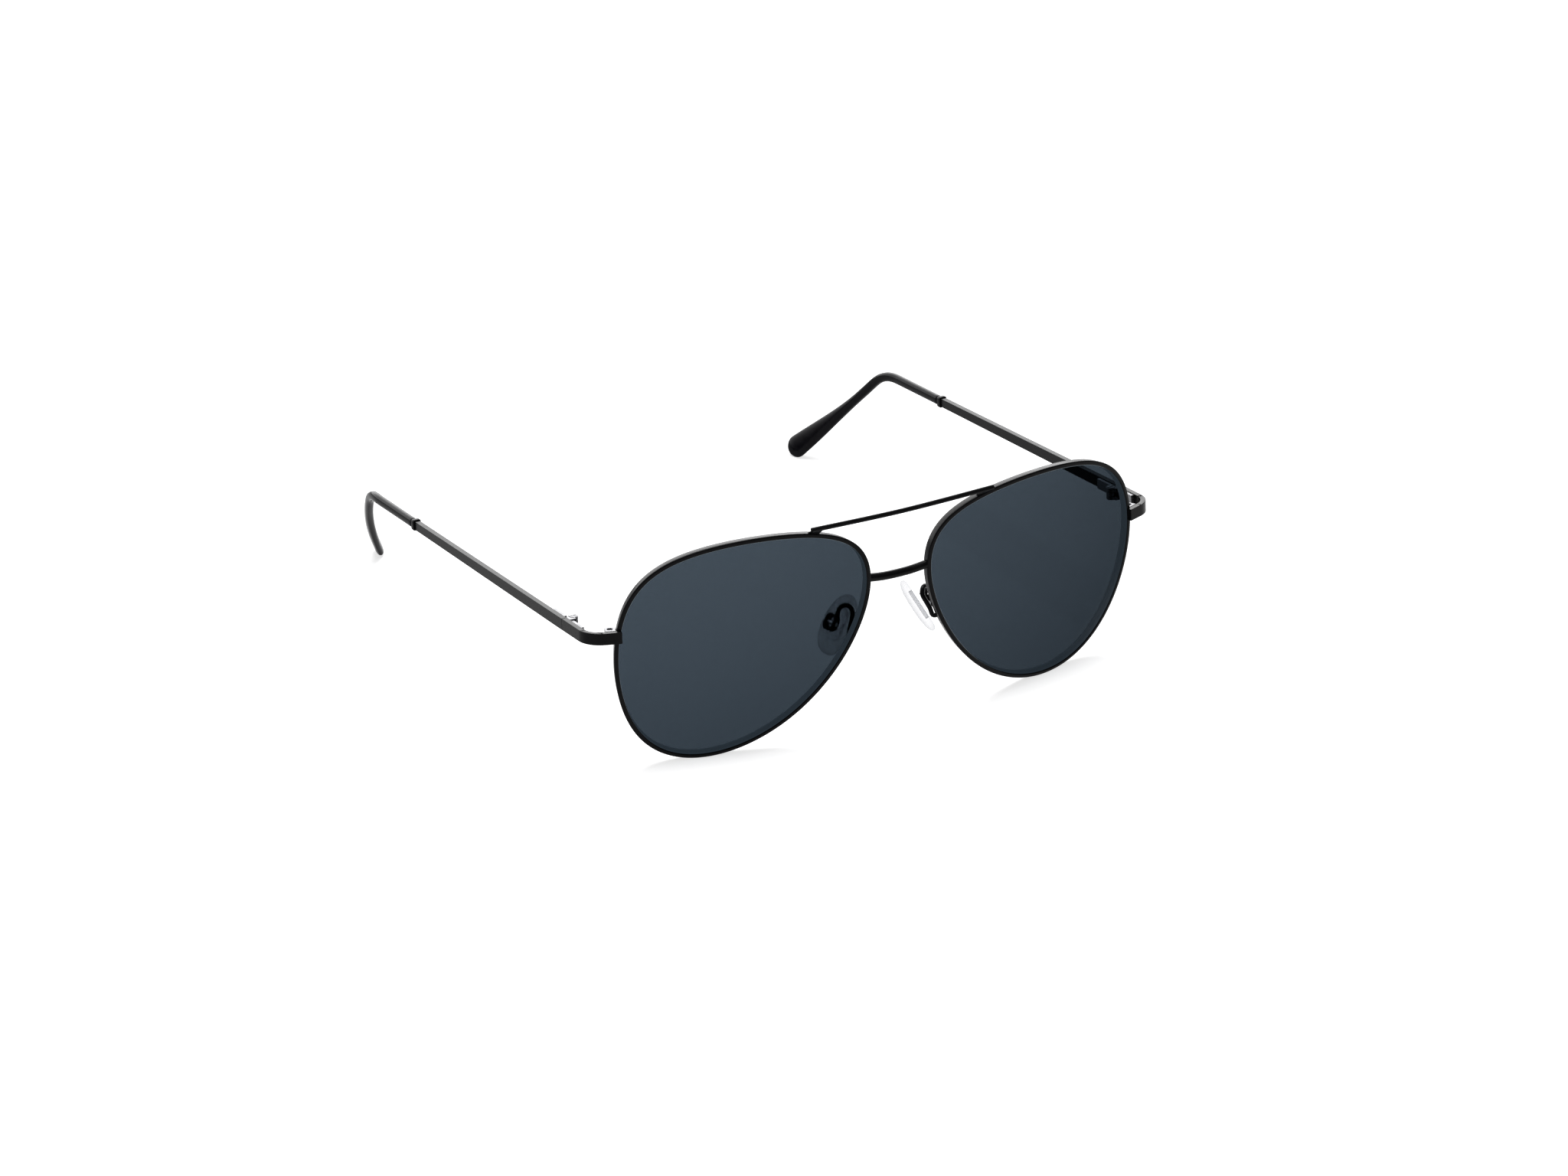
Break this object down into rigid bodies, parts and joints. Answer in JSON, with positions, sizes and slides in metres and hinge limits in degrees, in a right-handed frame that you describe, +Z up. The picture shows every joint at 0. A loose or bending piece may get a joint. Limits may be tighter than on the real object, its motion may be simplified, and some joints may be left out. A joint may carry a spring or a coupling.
{
  "type": "aviator sunglasses",
  "caption": "Folding aviator sunglasses: teardrop wire rims with tinted lenses, double bridge, adjustable nose pads, barrel hinges and bent temple tips.",
  "frame": {"origin": "centre of the bottom of the bounding box of the open frame, on the surface it stands on", "axes": "+Z up, +X towards the wearer's left, lenses face -Y, temples run back along +Y"},
  "size_m": [0.1424, 0.1396, 0.0536],
  "materials": {
    "frame_black": "satin black coat over a nickel-silver wire and bar",
    "lens_tint": "polished grey-blue sun tint",
    "lock_metal": "fine brushed, slightly dulled",
    "hinge_metal": "fine brushed",
    "screw_steel": "turned, slotted head",
    "pad_silicone": "soft clear silicone, slightly cloudy",
    "pad_core_clear": "clear hard plastic",
    "tip_acetate": "polished black"
  },
  "bodies": {
    "front": {"bridge": "frame_black", "brow_bar": "frame_black", "rim_left": "frame_black", "lens_left": "lens_tint", "brow_post_left": "frame_black", "end_piece_left": "frame_black", "rim_lock_upper_left": "lock_metal", "rim_lock_lower_left": "lock_metal", "rim_lock_screw_left": "screw_steel", "pad_arm_left": "frame_black", "pad_box_left": "frame_black", "pad_screw_left": "screw_steel", "front_hinge_left": "hinge_metal", "hinge_screw_left": "screw_steel", "rim_right": "frame_black", "lens_right": "lens_tint", "brow_post_right": "frame_black", "end_piece_right": "frame_black", "rim_lock_upper_right": "lock_metal", "rim_lock_lower_right": "lock_metal", "rim_lock_screw_right": "screw_steel", "pad_arm_right": "frame_black", "pad_box_right": "frame_black", "pad_screw_right": "screw_steel", "front_hinge_right": "hinge_metal", "hinge_screw_right": "screw_steel"},
    "temple_arm_left": {"temple_left": "frame_black", "temple_hinge_left": "hinge_metal", "temple_collar_left": "frame_black", "temple_tip_left": "tip_acetate"},
    "pad_left": {"nose_pad_left": "pad_silicone", "pad_core_left": "pad_core_clear"},
    "temple_arm_right": {"temple_right": "frame_black", "temple_hinge_right": "hinge_metal", "temple_collar_right": "frame_black", "temple_tip_right": "tip_acetate"},
    "pad_right": {"nose_pad_right": "pad_silicone", "pad_core_right": "pad_core_clear"}
  },
  "joints": [
    {"name": "temple_fold_left", "type": "hinge", "parent": "front", "child": "temple_arm_left", "pos_m": [0.06818, -0.04558, 0.03224], "axis": [0, 0.075, 0.9972], "range_deg": [0, 86]},
    {"name": "temple_fold_right", "type": "hinge", "parent": "front", "child": "temple_arm_right", "pos_m": [-0.06818, -0.04558, 0.03224], "axis": [0, -0.075, -0.9972], "range_deg": [0, 79]},
    {"name": "pad_rock_left", "type": "hinge", "parent": "front", "child": "pad_left", "pos_m": [0.01209, -0.05992, 0.02505], "axis": [-0.2292, -0.9725, -0.042], "range_deg": [-10, 10]},
    {"name": "pad_rock_right", "type": "hinge", "parent": "front", "child": "pad_right", "pos_m": [-0.01209, -0.05992, 0.02505], "axis": [-0.2292, 0.9725, 0.042], "range_deg": [-10, 10]}
  ]
}
